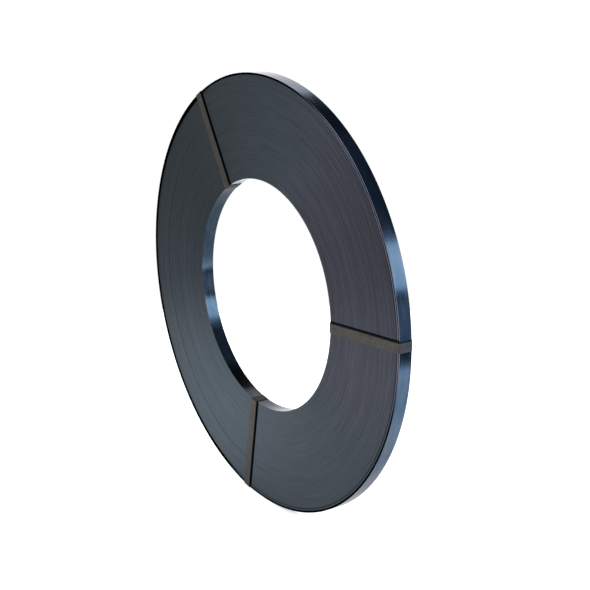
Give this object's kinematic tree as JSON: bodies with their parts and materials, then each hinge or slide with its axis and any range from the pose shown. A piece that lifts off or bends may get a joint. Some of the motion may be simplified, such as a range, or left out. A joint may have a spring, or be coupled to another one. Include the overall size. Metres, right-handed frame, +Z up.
{
  "type": "steel coil",
  "caption": "Flat ring of narrow steel strip, ribbon-wound turn on turn round an open bore and held by binding straps round its section.",
  "frame": {"origin": "on the floor under the standing coil, in the middle of its width", "axes": "+Z up, the winding axis along Y with the front end facing -Y, +X to the right as seen from the front"},
  "size_m": [0.5644, 0.0194, 0.564],
  "materials": {
    "strip": "blued steel, satin ends and glossy bore and rim",
    "strap": "satin brown-grey oxide"
  },
  "bodies": {
    "root": {"coil": "strip", "strap_right": "strap", "strap_top": "strap", "strap_bottom": "strap"}
  },
  "joints": []
}
